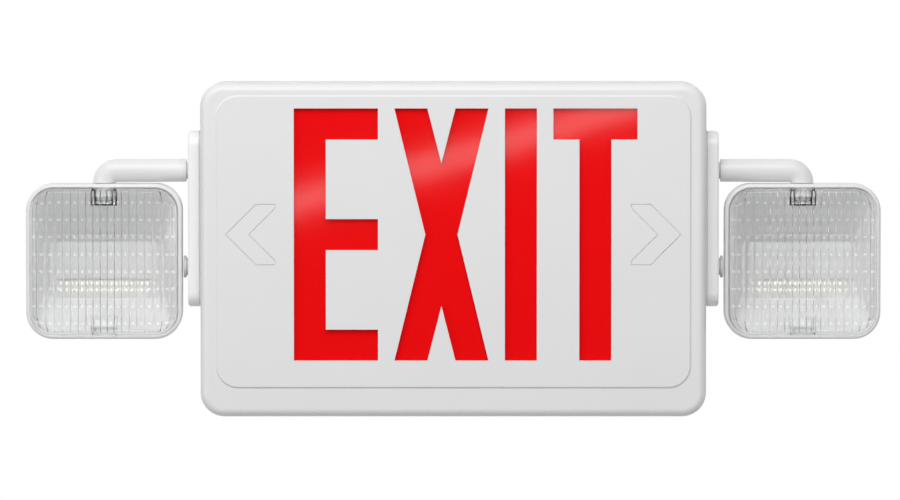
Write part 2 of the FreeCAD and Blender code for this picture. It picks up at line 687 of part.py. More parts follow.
def make_arm():
    """A hollow elbow with a spigot for the side plate and one for the lamp head."""
    start = f"{WALL_INNER} - {STACK}"
    foot = f"{COLLAR_LOW} - {STACK}"
    tube_start = f"{PLATE_FACE} + neck"
    bend_start = f"{PAN} - elbow_bend"
    solid = [
        rod("arm_spigot", "spigot_dia", f"{tube_start} - ({start})", start, "axis_out",
            UPPER_SOCKET, "X"),
        rod("arm_tube", "tube_dia", f"{bend_start} - ({tube_start})", tube_start, "axis_out",
            UPPER_SOCKET, "X"),
        quarter_bend("arm_elbow", "tube_dia"),
        rod("arm_leg", "spigot_dia", f"{UPPER_SOCKET} - elbow_bend - ({foot})", PAN, "axis_out",
            foot),
    ]
    hollow = [
        rod("wireway_across", "wireway", f"{bend_start} - ({start})", start, "axis_out",
            UPPER_SOCKET, "X"),
        quarter_bend("wireway_elbow", "wireway"),
        rod("wireway_down", "wireway", f"{UPPER_SOCKET} - elbow_bend - ({foot})", PAN,
            "axis_out", foot),
    ]
    hollow += clip_notches("notch_side", f"{start} + spigot_tail", UPPER_SOCKET, "X")
    hollow += clip_notches("notch_foot", PAN, f"{foot} + spigot_tail", None)
    return less("arm", joined("arm_solid", solid), hollow)


def make_clip(name, across, up, axis):
    """A round steel clip pushed over the spigot's flats; its slot opens to the wall."""
    slot = "(clip_seat + 2 * seat_fit)"
    low_out = "axis_out - clip_dia / 2"
    plate = rod(name + "_plate", "clip_dia", "clip_thick", across, "axis_out", up, axis)
    bore = rod(name + "_bore", "spigot_dia + 2 * seat_fit", "clip_thick", across, "axis_out", up,
               axis)
    slots = []
    for deep in ("clip_dia", "clip_dia / 2"):
        if axis == "X":
            slots.append(block(name + "_slot", across, low_out, f"{up} - {slot} / 2",
                               "clip_thick", deep, slot))
        else:
            slots.append(block(name + "_slot", f"{across} - {slot} / 2", low_out, up,
                               slot, deep, "clip_thick"))
    return less(name, plate, [shared(name + "_flats", bore, slots[0]), slots[1]])


# ---------------------------------------------------------------- lamp heads
def make_lamp_shell():
    """A moulded cup with straight sides, a drawn-in back and a collar for the arm."""
    body = new_body("lamp_shell_right")
    sides = new_sketch(body, "XZ_Plane", HEAD_BACK)
    draw_rounded(sides, PAN, HEAD_UP, "head_width", "head_height", "head_corner")
    pad(body, sides, "2 * head_half_deep")
    front = -size(HEAD_FRONT)
    rim = edges_where(body.Shape, lambda middle, edge: edge.BoundBox.YMax < front + 0.01)
    fillet(body, rim, "head_edge")
    back = -size(HEAD_BACK)
    rim = edges_where(body.Shape, lambda middle, edge: edge.BoundBox.YMin > back - 0.01)
    chamfer(body, rim, "head_edge")

    base = new_sketch(body, "XZ_Plane", HEAD_BACK)
    draw_rounded(base, PAN, HEAD_UP, "head_width - 2 * head_edge", "head_height - 2 * head_edge",
                 "head_corner - head_edge")
    crown = new_sketch(body, "XZ_Plane", f"{HEAD_BACK} - back_deep")
    inset = "(head_edge + back_inset)"
    draw_rounded(crown, PAN, HEAD_UP, f"head_width - 2 * {inset}", f"head_height - 2 * {inset}",
                 f"head_corner - {inset}")
    lofted(body, "Additive", base, crown)

    mouth = new_sketch(body, "XZ_Plane", HEAD_FRONT)
    draw_rounded(mouth, PAN, LAMP_LENS_UP, f"{LAMP_LENS_WIDTH} + 2 * lens_fit",
                 f"{LAMP_LENS_HEIGHT} + 2 * lens_fit", "head_corner - rim_side + lens_fit")
    pocket(body, mouth, "2 * head_half_deep - head_edge")

    inner = new_sketch(body, "XZ_Plane", f"{HEAD_BACK} + head_edge")
    inset = "(head_edge + head_wall)"
    draw_rounded(inner, PAN, HEAD_UP, f"head_width - 2 * {inset}", f"head_height - 2 * {inset}",
                 f"head_corner - {inset}")
    pit = new_sketch(body, "XZ_Plane", f"{HEAD_BACK} - back_deep + head_wall")
    inset = "(head_edge + back_inset + head_wall)"
    draw_rounded(pit, PAN, HEAD_UP, f"head_width - 2 * {inset}", f"head_height - 2 * {inset}",
                 f"head_corner - {inset}")
    lofted(body, "Subtractive", inner, pit)

    collar = new_sketch(body, "XY_Plane", COLLAR_LOW)
    draw_circle(collar, PAN, "-axis_out", "collar_dia")
    pad(body, collar, "collar_high + rim_top / 2")
    bore = new_sketch(body, "XY_Plane", HEAD_TOP)
    draw_circle(bore, PAN, "-axis_out", SOCKET_BORE)
    pocket(body, bore, "collar_high + 2 * rim_top")
    return body


def lofted(body, kind, first, second):
    feature = body.newObject(f"PartDesign::{kind}Loft", body.Label + "_loft")
    feature.Profile = first
    feature.Sections = [second]
    feature.Ruled = True
    doc.recompute()
    return feature


def make_lamp_lens():
    """A clear cap with a skirt; upright flutes inside its face spread the beam."""
    cap = new_body("lamp_lens_cap")
    outside = new_sketch(cap, "XZ_Plane", f"{HEAD_FRONT} - lens_skirt")
    draw_rounded(outside, PAN, LAMP_LENS_UP, LAMP_LENS_WIDTH, LAMP_LENS_HEIGHT,
                 "head_corner - rim_side")
    pad(cap, outside, "lens_skirt + lamp_lens_proud")
    face = -size(f"{HEAD_FRONT} + lamp_lens_proud")
    rim = edges_where(cap.Shape, lambda middle, edge: abs(edge.BoundBox.YMin - face) < 0.01
                      and edge.BoundBox.YLength < 0.01)
    chamfer(cap, rim, "lamp_lens_edge")
    inside = new_sketch(cap, "XZ_Plane", f"{HEAD_FRONT} - lens_skirt")
    draw_lens_inside(inside)
    pocket(cap, inside, "lens_skirt + lamp_lens_proud - lamp_lens_wall", reverse=True)

    field = new_body("lamp_flute_field")
    prism = new_sketch(field, "XZ_Plane", f"{HEAD_FRONT} + lamp_lens_proud - lamp_lens_wall - seat_fit")
    draw_lens_inside(prism)
    pad(field, prism, "lamp_lens_wall")

    radius = "((flute_pitch / 2) ^ 2 + flute_deep ^ 2) / (2 * flute_deep)"
    centre = f"{HEAD_FRONT} + lamp_lens_proud - lamp_lens_wall + flute_deep - {radius}"
    flutes = []
    for index in range(int(size("flute_count"))):
        across = f"{PAN} + ({index} - (flute_count - 1) / 2) * flute_pitch"
        flutes.append(rod("flute", f"2 * {radius}", LAMP_LENS_HEIGHT, across, centre,
                          f"{LAMP_LENS_UP} - {LAMP_LENS_HEIGHT} / 2"))
    return less("lamp_lens", cap, [shared("lamp_flutes", joined("flute_row", flutes), field)])


def draw_lens_inside(sketch):
    draw_rounded(sketch, PAN, LAMP_LENS_UP, f"{LAMP_LENS_WIDTH} - 2 * lamp_lens_wall",
                 f"{LAMP_LENS_HEIGHT} - 2 * lamp_lens_wall",
                 "head_corner - rim_side - lamp_lens_wall")


FLANGE_OUT = "(axis_out + head_half_deep - lens_skirt - seat_fit)"


def draw_dish(body, grow):
    """The reflector's mouth and its smaller, lower back, grown by a wall."""
    mouth = new_sketch(body, "XZ_Plane", FLANGE_OUT)
    draw_rounded(mouth, PAN, LAMP_LENS_UP, f"{LAMP_LENS_WIDTH} - 2 * (dish_in - {grow})",
                 f"{LAMP_LENS_HEIGHT} - 2 * (dish_in - {grow})", f"dish_corner + {grow}")
    back = new_sketch(body, "XZ_Plane", f"{FLANGE_OUT} - dish_deep - {grow}")
    draw_rounded(back, PAN, f"{LAMP_LENS_UP} + (dish_back_bottom - dish_back_top) / 2",
                 f"{LAMP_LENS_WIDTH} - 2 * (dish_back_side - {grow})",
                 f"{LAMP_LENS_HEIGHT} - dish_back_top - dish_back_bottom + 2 * {grow}",
                 f"dish_back_corner + {grow}")
    return mouth, back


def make_lamp_reflector():
    """A white dish: its long roof shades the top and its short floor throws the light out."""
    body = new_body("lamp_reflector_right")
    flange = new_sketch(body, "XZ_Plane", f"{FLANGE_OUT} - dish_wall")
    draw_rounded(flange, PAN, LAMP_LENS_UP, f"{LAMP_LENS_WIDTH} - 2 * flange_fit",
                 f"{LAMP_LENS_HEIGHT} - 2 * flange_fit", "head_corner - rim_side - flange_fit")
    pad(body, flange, "dish_wall")
    lofted(body, "Additive", *draw_dish(body, "dish_wall"))
    lofted(body, "Subtractive", *draw_dish(body, "0"))
    slots = new_sketch(body, "XZ_Plane", f"{FLANGE_OUT}")
    half = f"{LAMP_LENS_HEIGHT} / 2"
    draw_box(slots, f"{PAN} - dish_slot / 2", f"{LAMP_LENS_UP} + {half} - dish_slot_high",
             "dish_slot", "dish_slot_high")
    draw_box(slots, f"{PAN} - dish_slot / 2", f"{LAMP_LENS_UP} - {half}",
             "dish_slot", "dish_slot_high")
    pocket(body, slots, "dish_slot_deep")
    window = new_sketch(body, "XZ_Plane", f"{FLANGE_OUT}")
    draw_box(window, f"{PAN} - window_width / 2", f"{LAMP_LENS_UP} - window_down - window_high / 2",
             "window_width", "window_high")
    pocket(body, window, "dish_deep + 2 * dish_wall")
    return body


LAMP_BOARD_FACE = f"({FLANGE_OUT} - dish_deep - dish_wall - seat_fit)"


def make_lamp_board():
    return block("lamp_board", f"{PAN} - lamp_board_width / 2",
                 f"{LAMP_BOARD_FACE} - lamp_board_thick",
                 f"{LAMP_LENS_UP} - window_down - lamp_board_high / 2",
                 "lamp_board_width", "lamp_board_thick", "lamp_board_high")


def make_lamp_chips():
    chips = []
    for index in range(int(size("lamp_chip_count"))):
        across = f"{PAN} + ({index} - (lamp_chip_count - 1) / 2) * lamp_chip_pitch"
        chips.append(block("lamp_chip_one", f"{across} - lamp_chip / 2", LAMP_BOARD_FACE,
                           f"{LAMP_LENS_UP} - window_down - lamp_chip / 2",
                           "lamp_chip", "lamp_chip_high", "lamp_chip"))
    return group("lamp_chips", chips)


# -------------------------------------------------- charger board and battery
def on_board(name, left, bottom, width, deep, high):
    """A box-shaped component that stands on the charger board's face."""
    return block(name, f"board_left + {left}", BOARD_FACE, f"-board_bottom + {bottom}",
                 width, deep, high)


def make_charger_board():
    plate = block("board_plate", "board_left", BOARD_OUT, "-board_bottom",
                  "board_width", "board_thick", "board_high")
    holes = []
    for across, up in board_holes():
        holes.append(rod("board_hole", "screw_dia + 2 * screw_fit", "board_thick", across,
                         BOARD_OUT, up, "front"))
    return less("charger", plate, holes)


def make_screw_set(name, places, seat):
    screws = []
    for across, up in places:
        screws.append(make_screw(name, across, seat, up, "front", "screw_bite"))
    return group(name + "_set", screws)


def make_transformer():
    """A stack of laminations round a wound bobbin."""
    core = on_board("core_block", "core_left", "core_bottom", "core_width", "core_deep",
                    "core_high")
    window = on_board("core_window", "core_left + (core_width - coil_width) / 2",
                      "core_bottom + core_yoke", "coil_width", "core_deep",
                      "core_high - 2 * core_yoke")
    finished("transformer_core", less("core", core, [window]))
    winding = on_board("coil_inner", "core_left + (core_width - coil_width) / 2",
                       "core_bottom + core_yoke", "coil_width", "coil_deep",
                       "core_high - 2 * core_yoke")
    finished("transformer_coil", winding)


def make_components():
    """Two can capacitors and a relay."""
    items = [on_board("relay", "relay_left", "relay_bottom", "relay_width", "relay_deep",
                      "relay_high")]
    for index in range(2):
        items.append(rod("can", "can_dia", "can_high",
                         f"board_left + can_left + {index} * can_pitch", BOARD_FACE,
                         f"-board_bottom + can_bottom", "front"))
    return group("components", items)


def make_terminal_block():
    body = on_board("block_body", "block_left", "block_bottom", "block_width", "block_deep",
                    "block_high")
    holes = []
    for index in range(int(size("block_ways"))):
        across = f"board_left + block_left + block_width * ({index} + 0.5) / block_ways"
        holes.append(block("block_way", f"{across} - block_hole / 2",
                           f"{BOARD_FACE} + block_deep / 2",
                           "-board_bottom + block_bottom + (block_high - block_hole) / 2",
                           "block_hole", "block_deep / 2", "block_hole"))
    return less("terminals", body, holes)


def make_battery():
    """A row of cells in one shrunk sleeve."""
    cells = []
    for index in range(int(size("cell_count"))):
        cells.append(rod("cell", "cell_dia", "cell_length",
                         f"-battery_left + ({index} + 0.5) * cell_dia",
                         "wall + cell_fit + cell_dia / 2", "-battery_bottom"))
    sleeve = block("sleeve", "-battery_left + cell_dia / 2", "wall + cell_fit + cell_dia / 4",
                   "-battery_bottom", "cell_dia * (cell_count - 1)", "cell_dia / 2", "cell_length")
    return joined("battery", cells + [sleeve])


def make_strap():
    """A sprung steel strip over the battery, bent down to a foot at each end."""
    body = new_body("battery_strap")
    left = "-battery_left - cell_fit"
    right = "-battery_left + cell_dia * cell_count + cell_fit"
    low = f"-{BOARD_OUT}"
    top = "-(wall + 2 * cell_fit + cell_dia)"
    outline = new_sketch(body, "XY_Plane", "-battery_bottom + cell_length / 2")
    draw_outline(outline, [
        (f"{left} - strap_foot", low), (left, low), (left, top), (right, top), (right, low),
        (f"{right} + strap_foot", low), (f"{right} + strap_foot", f"{low} - strap_thick"),
        (f"{right} + strap_thick", f"{low} - strap_thick"),
        (f"{right} + strap_thick", f"{top} - strap_thick"),
        (f"{left} - strap_thick", f"{top} - strap_thick"),
        (f"{left} - strap_thick", f"{low} - strap_thick"),
        (f"{left} - strap_foot", f"{low} - strap_thick")])
    pad(body, outline, "strap_width", both=True)
    holes = new_sketch(body, "XZ_Plane", f"{BOARD_OUT} + strap_thick")
    for across, up in strap_feet():
        draw_circle(holes, across, up, "screw_dia + 2 * screw_fit")
    pocket(body, holes, "strap_thick")
    return body


# ------------------------------------------------ test button and pilot lamp
def make_button():
    """A push button held in by its flange; its stem enters the switch."""
    face = f"{FLOOR} + button_sink"
    seat = f"{FLOOR} + wall + seat_fit / 2"
    top = f"{FLOOR} + wall + switch_gap + stem_bite"
    cap = rod("button_cap", "button_dia", f"{seat} - ({face})", "button_right", "button_out", face)
    flange = rod("button_ring", "button_flange", "button_flange_thick", "button_right",
                 "button_out", seat)
    stem = rod("button_stem", "stem_dia", f"{top} - ({seat})", "button_right", "button_out", seat)
    return joined("button", [cap, flange, stem])


def make_switch():
    low = f"{FLOOR} + wall + switch_gap"
    case = block("switch_case", "button_right - switch_width / 2", BOARD_FACE, low,
                 "switch_width", f"button_out + switch_front - {BOARD_FACE}", "switch_high")
    bore = rod("switch_bore", "stem_dia + 2 * button_fit", "switch_bore_deep", "button_right",
               "button_out", low)
    return less("switch", case, [bore])


def make_pilot_lens():
    face = f"{FLOOR} + button_sink"
    seat = f"{FLOOR} + wall"
    body = rod("pilot_body", "pilot_dia", f"{seat} - ({face})", "pilot_right", "button_out", face)
    flange = rod("pilot_ring", "pilot_flange", "pilot_flange_thick", "pilot_right",
                 "button_out", seat)
    return joined("pilot_lens", [body, flange])


def make_pilot_lamp():
    """A small lamp behind the pilot lens, on a base that reaches the board."""
    low = f"{FLOOR} + wall + pilot_flange_thick + seat_fit"
    lamp = rod("pilot_bulb", "pilot_lamp_dia", "pilot_lamp_long", "pilot_right", "button_out", low)
    base = block("pilot_foot", "pilot_right - pilot_base / 2", BOARD_FACE,
                 f"{low} + pilot_lamp_long",
                 "pilot_base", f"button_out + pilot_base / 2 - {BOARD_FACE}", "pilot_base")
    return joined("pilot_lamp", [lamp, base])


# ------------------------------------------------------------------ assembly
finished("rear_housing", make_rear_housing())
finished("front_cover", make_front_cover())
finished("exit_lens", make_exit_lens())
finished("light_tray", make_light_tray())
make_strip("upper", "+")
make_strip("lower", "-")
finished("charger_board", make_charger_board())
finished("board_screws", make_screw_set("board_screw", board_holes(), BOARD_FACE))
make_transformer()
finished("board_components", make_components())
finished("terminal_block", make_terminal_block())
finished("battery_pack", make_battery())
finished("battery_strap", make_strap())
finished("strap_screws", make_screw_set("strap_screw", strap_feet(),
                                        f"{BOARD_OUT} + strap_thick"))
finished("test_button", make_button())
finished("test_switch", make_switch())
finished("pilot_lens", make_pilot_lens())
finished("pilot_led", make_pilot_lamp())

RIGHT_HAND = {
    "side_plate": make_side_plate(),
    "plate_screw": make_plate_screw(),
    "blank_plug": make_blank_plug(),
    "arm": make_arm(),
    "arm_clip": make_clip("side_clip", f"{WALL_INNER} - seat_fit - clip_thick",
                          UPPER_SOCKET, "X"),
    "lamp_clip": make_clip("foot_clip", PAN, f"{COLLAR_LOW} - seat_fit - clip_thick", None),
    "lamp_shell": make_lamp_shell(),
    "lamp_lens": make_lamp_lens(),
    "lamp_reflector": make_lamp_reflector(),
    "lamp_board": make_lamp_board(),
    "lamp_leds": make_lamp_chips(),
}
for name, item in RIGHT_HAND.items():
    finished(name + "_right", item)
    finished(name + "_left", mirrored(name + "_mirror", item))

doc.recompute()
faults = [item.Label for item in doc.Objects if {"Invalid", "Error"} & set(item.State)]
for name, item in parts.items():
    shape = item.Shape
    if shape.isNull() or not shape.isValid() or not shape.Solids:
        faults.append(name)
if faults:
    raise SystemExit("failed: " + ", ".join(faults))

os.makedirs("parts", exist_ok=True)
for name, item in parts.items():
    item.Shape.exportStep(f"parts/{name}.step")
print(len(parts), "parts")
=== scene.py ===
from math import cos, pi, radians, sin, sqrt

import bmesh
import bpy
from mathutils import Matrix, Vector


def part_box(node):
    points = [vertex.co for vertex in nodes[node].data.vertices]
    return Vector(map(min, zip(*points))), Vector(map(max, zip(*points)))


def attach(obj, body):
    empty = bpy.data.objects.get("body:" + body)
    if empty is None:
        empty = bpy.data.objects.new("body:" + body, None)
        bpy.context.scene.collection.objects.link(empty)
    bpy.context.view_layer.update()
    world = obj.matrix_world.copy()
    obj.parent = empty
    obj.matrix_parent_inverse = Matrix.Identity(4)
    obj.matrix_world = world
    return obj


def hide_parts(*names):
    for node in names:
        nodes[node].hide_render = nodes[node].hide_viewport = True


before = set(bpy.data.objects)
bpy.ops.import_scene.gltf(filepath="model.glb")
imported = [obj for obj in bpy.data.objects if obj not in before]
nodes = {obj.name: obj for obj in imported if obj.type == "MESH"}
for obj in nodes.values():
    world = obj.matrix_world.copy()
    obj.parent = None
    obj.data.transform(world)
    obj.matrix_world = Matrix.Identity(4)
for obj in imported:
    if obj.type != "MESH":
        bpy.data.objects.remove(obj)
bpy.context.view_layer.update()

MM = 0.001

# ------------------------------------------------------------ rear housing
# A deep white ABS tray, injection moulded in one piece with its posts and wall
# holes.  The tool leaves a fine matt grain on every outside face.
WHITE = (0.80, 0.80, 0.805, 1)
COLOUR_DRIFT = 0.04
GLOSS_DRIFT = 0.05
HOUSING_EDGE = 0.35 * MM
EDGE_STEPS = 2
SHARP_FOLD = radians(25)
FLAT_FOLD = radians(0.5)
WELD = 0.005 * MM


def new_material(name, roughness=0.5):
    """A material with one Principled shader; its node tree is filled in by its piece."""
    material = bpy.data.materials.new(name)
    material.use_nodes = True
    shader = material.node_tree.nodes["Principled BSDF"]
    shader.inputs["Roughness"].default_value = roughness
    return material, material.node_tree, shader


def add_node(tree, kind, **values):
    """A shader node with its properties and named inputs set."""
    node = tree.nodes.new("ShaderNode" + kind)
    for key, value in values.items():
        if hasattr(node, key):
            setattr(node, key, value)
        else:
            node.inputs[key.replace("_", " ")].default_value = value
    return node


def maths(tree, operation, *terms):
    """The result of a Math node, whose terms are numbers or other nodes' outputs."""
    node = add_node(tree, "Math", operation=operation)
    for socket, term in zip(node.inputs, terms):
        if isinstance(term, bpy.types.NodeSocket):
            tree.links.new(term, socket)
        else:
            socket.default_value = term
    return node.outputs[0]


def between(tree, mask, low, high):
    """A Map Range that turns a 0-1 mask into a number between two values."""
    span = add_node(tree, "MapRange", To_Min=low, To_Max=high)
    tree.links.new(mask, span.inputs["Value"])
    return span.outputs["Result"]


def tint(tree, shader, mask, first, second):
    """Colour a shader by a mask, from one colour to another."""
    tone = add_node(tree, "Mix", data_type="RGBA")
    tone.inputs["A"].default_value = first
    tone.inputs["B"].default_value = second
    tree.links.new(mask, tone.inputs["Factor"])
    tree.links.new(tone.outputs["Result"], shader.inputs["Base Color"])


def emboss(tree, shader, height, depth):
    """Raise a shader's surface by a height pattern; the depth is in millimetres."""
    bump = add_node(tree, "Bump", Distance=depth * MM)
    tree.links.new(height, bump.inputs["Height"])
    tree.links.new(bump.outputs["Normal"], shader.inputs["Normal"])


def darker(colour, share):
    """The same colour with a share of its light taken off."""
    return tuple(part * (1 - share) for part in colour[:3]) + (1,)


def moulded_grain_group():
    """The matt grain of a spark-eroded tool and the slow flow marks of the plastic."""
    group = bpy.data.node_groups.new("moulded_grain", "ShaderNodeTree")
    for label, size in (("Grain size", 0.4), ("Flow size", 60)):
        socket = group.interface.new_socket(label, in_out="INPUT", socket_type="NodeSocketFloat")
        socket.default_value = size
    for label in ("Height", "Flow"):
        group.interface.new_socket(label, in_out="OUTPUT", socket_type="NodeSocketFloat")
    given = group.nodes.new("NodeGroupInput")
    result = group.nodes.new("NodeGroupOutput")
    place = add_node(group, "TexCoord")
    for label, output, detail in (("Grain size", "Height", 2), ("Flow size", "Flow", 3)):
        noise = add_node(group, "TexNoise", Detail=detail)
        group.links.new(place.outputs["Object"], noise.inputs["Vector"])
        group.links.new(maths(group, "DIVIDE", 1 / MM, given.outputs[label]),
                        noise.inputs["Scale"])
        group.links.new(noise.outputs["Fac"], result.inputs[output])
    return group


moulded_grain = moulded_grain_group()


def moulded(name, colour, gloss, grain=0.4, depth=0.012):
    """Moulded plastic: grain in the relief, a slow drift of colour and gloss."""
    material, tree, shader = new_material(name)
    surface = add_node(tree, "Group", node_tree=moulded_grain)
    surface.inputs["Grain size"].default_value = grain
    flow = surface.outputs["Flow"]
    tint(tree, shader, flow, darker(colour, COLOUR_DRIFT), colour)
    tree.links.new(between(tree, flow, gloss - GLOSS_DRIFT, gloss + GLOSS_DRIFT),
                   shader.inputs["Roughness"])
    emboss(tree, shader, surface.outputs["Height"], depth)
    return material


white_plastic = moulded("white_moulding", WHITE, 0.42)


def finish_node(node, material):
    """Give a CAD node its finish."""
    slots = nodes[node].data.materials
    if not slots:
        slots.append(material)
    for index in range(len(slots)):
        slots[index] = material


def add_piece(name, bm, body, material, stands_for=()):
    """Make a finished piece of a bmesh: it rides on a body and takes a slot's finish."""
    mesh = bpy.data.meshes.new(name)
    bm.to_mesh(mesh)
    bm.free()
    mesh.shade_smooth()
    mesh.materials.append(material)
    piece = bpy.data.objects.new(name, mesh)
    bpy.context.scene.collection.objects.link(piece)
    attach(piece, body)
    if stands_for:
        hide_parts(*stands_for)
    return piece


def even_normals(piece):
    """Let the flat faces keep their own normals and the narrow rounds blend between them."""
    modifier = piece.modifiers.new("even_normals", "WEIGHTED_NORMAL")
    modifier.keep_sharp = True


def soften(node, body, material, edge):
    """Replace a node by a merged copy with a small round along each sharp edge."""
    bm = bmesh.new()
    bm.from_mesh(nodes[node].data)
    bmesh.ops.remove_doubles(bm, verts=bm.verts, dist=WELD)
    bmesh.ops.dissolve_limit(bm, angle_limit=FLAT_FOLD, verts=bm.verts, edges=bm.edges)
    sharp = [line for line in bm.edges
             if line.is_manifold and line.calc_face_angle() > SHARP_FOLD]
    bmesh.ops.bevel(bm, geom=sharp, offset=edge, offset_type="OFFSET", segments=EDGE_STEPS,
                    profile=0.5, affect="EDGES", material=-1, clamp_overlap=True)
    even_normals(add_piece(node + "_skin", bm, body, material, [node]))


soften("rear_housing", "housing", white_plastic, HOUSING_EDGE)

# ------------------------------------------------------------- front cover
# The shallow ABS lid that snaps on to the tray.  Its raised panel is cut
# through for the legend and scored for the two arrow knock-outs.
COVER_EDGE = 0.3 * MM
soften("front_cover", "housing", white_plastic, COVER_EDGE)

# --------------------------------------------------------------- exit lens
# One sheet of translucent red acrylic behind the cut-out letters, laid in
# from the back and held by the light tray.
RED = (0.88, 0.003, 0.0045, 1)
DEEP_RED = (0.836, 0.003, 0.0045, 1)
ACRYLIC_FLOW = 90
ACRYLIC_WAVE = 0.02


def red_acrylic():
    """Polished sheet: a slow flow in the red and the faintest wave in its face."""
    material, tree, shader = new_material("red_acrylic", 0.04)
    shader.inputs["IOR"].default_value = 1.49
    surface = add_node(tree, "Group", node_tree=moulded_grain)
    surface.inputs["Flow size"].default_value = ACRYLIC_FLOW
    flow = surface.outputs["Flow"]
    tint(tree, shader, flow, DEEP_RED, RED)
    emboss(tree, shader, flow, ACRYLIC_WAVE)
    return material


finish_node("exit_lens", red_acrylic())

# ---------------------------------------------------- light tray and strips
# A vacuum-formed white tray that spreads the light, and two narrow boards
# whose chips shine across it from above and below.
TRAY_WHITE = (0.86, 0.86, 0.86, 1)
TRACK_EDGE = 0.42
TRACK_RISE = 0.03
finish_node("light_tray", moulded("tray_moulding", TRAY_WHITE, 0.35, depth=0.006))


def laminate(name, colour, trace, pitch):
    """A circuit board: solder mask over faint copper tracks, whose pitch is in millimetres."""
    material, tree, shader = new_material(name, 0.35)
    place = add_node(tree, "TexCoord")
    cells = add_node(tree, "TexVoronoi", distance="CHEBYCHEV", Scale=1 / (pitch * MM))
    tree.links.new(place.outputs["Object"], cells.inputs["Vector"])
    tracks = maths(tree, "GREATER_THAN", cells.outputs["Distance"], TRACK_EDGE)
    tint(tree, shader, tracks, colour, trace)
    emboss(tree, shader, tracks, TRACK_RISE)
    return material


lamp_laminate = laminate("white_laminate", (0.78, 0.78, 0.76, 1), (0.70, 0.70, 0.67, 1), 3)
green_laminate = laminate("green_laminate", (0.02, 0.16, 0.06, 1), (0.05, 0.25, 0.10, 1), 2.5)


def chip_finish():
    """An LED package: pale phosphor under a clear face, faintly alight."""
    material, tree, shader = new_material("led_phosphor", 0.2)
    surface = add_node(tree, "Group", node_tree=moulded_grain)
    tint(tree, shader, surface.outputs["Height"], (0.92, 0.92, 0.89, 1), (0.97, 0.97, 0.94, 1))
    shader.inputs["Emission Color"].default_value = (1, 0.97, 0.9, 1)
    shader.inputs["Emission Strength"].default_value = 0.3
    return material


phosphor = chip_finish()
for row in ("upper", "lower"):
    finish_node("letter_board_" + row, lamp_laminate)
    finish_node("letter_leds_" + row, phosphor)

# ------------------------------------------------- charger board and battery
# A glass-epoxy board on four posts with its transformer, relay, capacitors
# and screw terminals, and a shrink-sleeved row of cells under a steel strap.
BRUSH_LINES = 900
BRUSH_TONE = 0.15
BRUSH_GLOSS = 0.08


def brushed(name, colour, roughness, stretch):
    """Plated sheet steel, drawn in one direction, with faint spangle."""
    material, tree, shader = new_material(name)
    shader.inputs["Metallic"].default_value = 1
    place = add_node(tree, "TexCoord")
    draw = add_node(tree, "Mapping", Scale=stretch)
    lines = add_node(tree, "TexNoise", Scale=BRUSH_LINES, Detail=4)
    tree.links.new(place.outputs["Object"], draw.inputs["Vector"])
    tree.links.new(draw.outputs["Vector"], lines.inputs["Vector"])
    tint(tree, shader, lines.outputs["Fac"], darker(colour, BRUSH_TONE), colour)
    tree.links.new(between(tree, lines.outputs["Fac"], roughness - BRUSH_GLOSS,
                           roughness + BRUSH_GLOSS), shader.inputs["Roughness"])
    return material


zinc = brushed("zinc_plate", (0.72, 0.73, 0.74, 1), 0.35, (1, 6, 6))
laminations = brushed("core_laminations", (0.30, 0.30, 0.32, 1), 0.5, (1, 8, 1))
black_plastic = moulded("black_moulding", (0.02, 0.02, 0.022, 1), 0.4)
green_plastic = moulded("green_moulding", (0.03, 0.30, 0.09, 1), 0.4)
yellow_tape = moulded("winding_tape", (0.75, 0.52, 0.08, 1), 0.3, grain=1.5, depth=0.05)
sleeve = moulded("battery_sleeve", (0.03, 0.12, 0.38, 1), 0.22, grain=3, depth=0.06)
finish_node("charger_board", green_laminate)
finish_node("board_components", black_plastic)
finish_node("terminal_block", green_plastic)
finish_node("transformer_core", laminations)
finish_node("transformer_coil", yellow_tape)
finish_node("battery_pack", sleeve)
for node in ("battery_strap", "board_screws", "strap_screws"):
    finish_node(node, zinc)

# ---------------------------------------------- test button and pilot lamp
# A white push button and a red pilot lens in the bottom wall of the housing,
# with the switch and the small lamp that stand behind them.
finish_node("test_button", moulded("button_moulding", (0.72, 0.72, 0.72, 1), 0.3))
finish_node("test_switch", black_plastic)
finish_node("pilot_lens", moulded("pilot_red", (0.55, 0.01, 0.01, 1), 0.1, depth=0.003))
finish_node("pilot_led", phosphor)

# ------------------------------------------------------ side plates and arms
# White ABS pads screwed to the housing's sides.  Each has two sockets: the
# upper holds the bent arm, and a push-in plug closes the lower.
SIDES = ("left", "right")
PLATE_EDGE = 0.4 * MM
PLUG_EDGE = 0.5 * MM
ARM_EDGE = 0.3 * MM
# The pads take a copy of the white moulding painted lighter than the housing's: painted light,
# which makes them as bright as lit pads though the cover shades them.
painted_light_plastic = moulded("painted_light_moulding", (0.93, 0.93, 0.93, 1), 0.38)
for side in SIDES:
    soften("side_plate_" + side, "housing", painted_light_plastic, PLATE_EDGE)
    soften("blank_plug_" + side, "housing", white_plastic, PLUG_EDGE)
    soften("arm_" + side, "arm_" + side, white_plastic, ARM_EDGE)
    for node in ("plate_screw_", "arm_clip_", "lamp_clip_"):
        finish_node(node + side, zinc)

# -------------------------------------------------------------- lamp heads
# A white ABS shell on the arm's foot with a white reflector, a strip of
# chips behind the reflector's window, and a clear ribbed lens snapped in.
SHELL_EDGE = 0.15 * MM
reflector_white = moulded("reflector_moulding", (0.74, 0.74, 0.74, 1), 0.25, depth=0.004)
for side in SIDES:
    soften("lamp_shell_" + side, "lamp_" + side, white_plastic, SHELL_EDGE)
    finish_node("lamp_reflector_" + side, reflector_white)
    finish_node("lamp_board_" + side, lamp_laminate)
    finish_node("lamp_leds_" + side, phosphor)

# ------------------------------------------------------------ lens latches
# A white tongue of the shell fills the slot under each reflector; the lens's
# skirt hooks behind the bar across it.
LATCH_WIDE = 14.2 * MM
LATCH_HIGH = 9.6 * MM
LATCH_THICK = 1.2 * MM
LATCH_BAR = 2.2 * MM
LATCH_EDGE = 0.25 * MM
LATCH_OUT = 24 * MM
LATCH_UP = 5.6 * MM


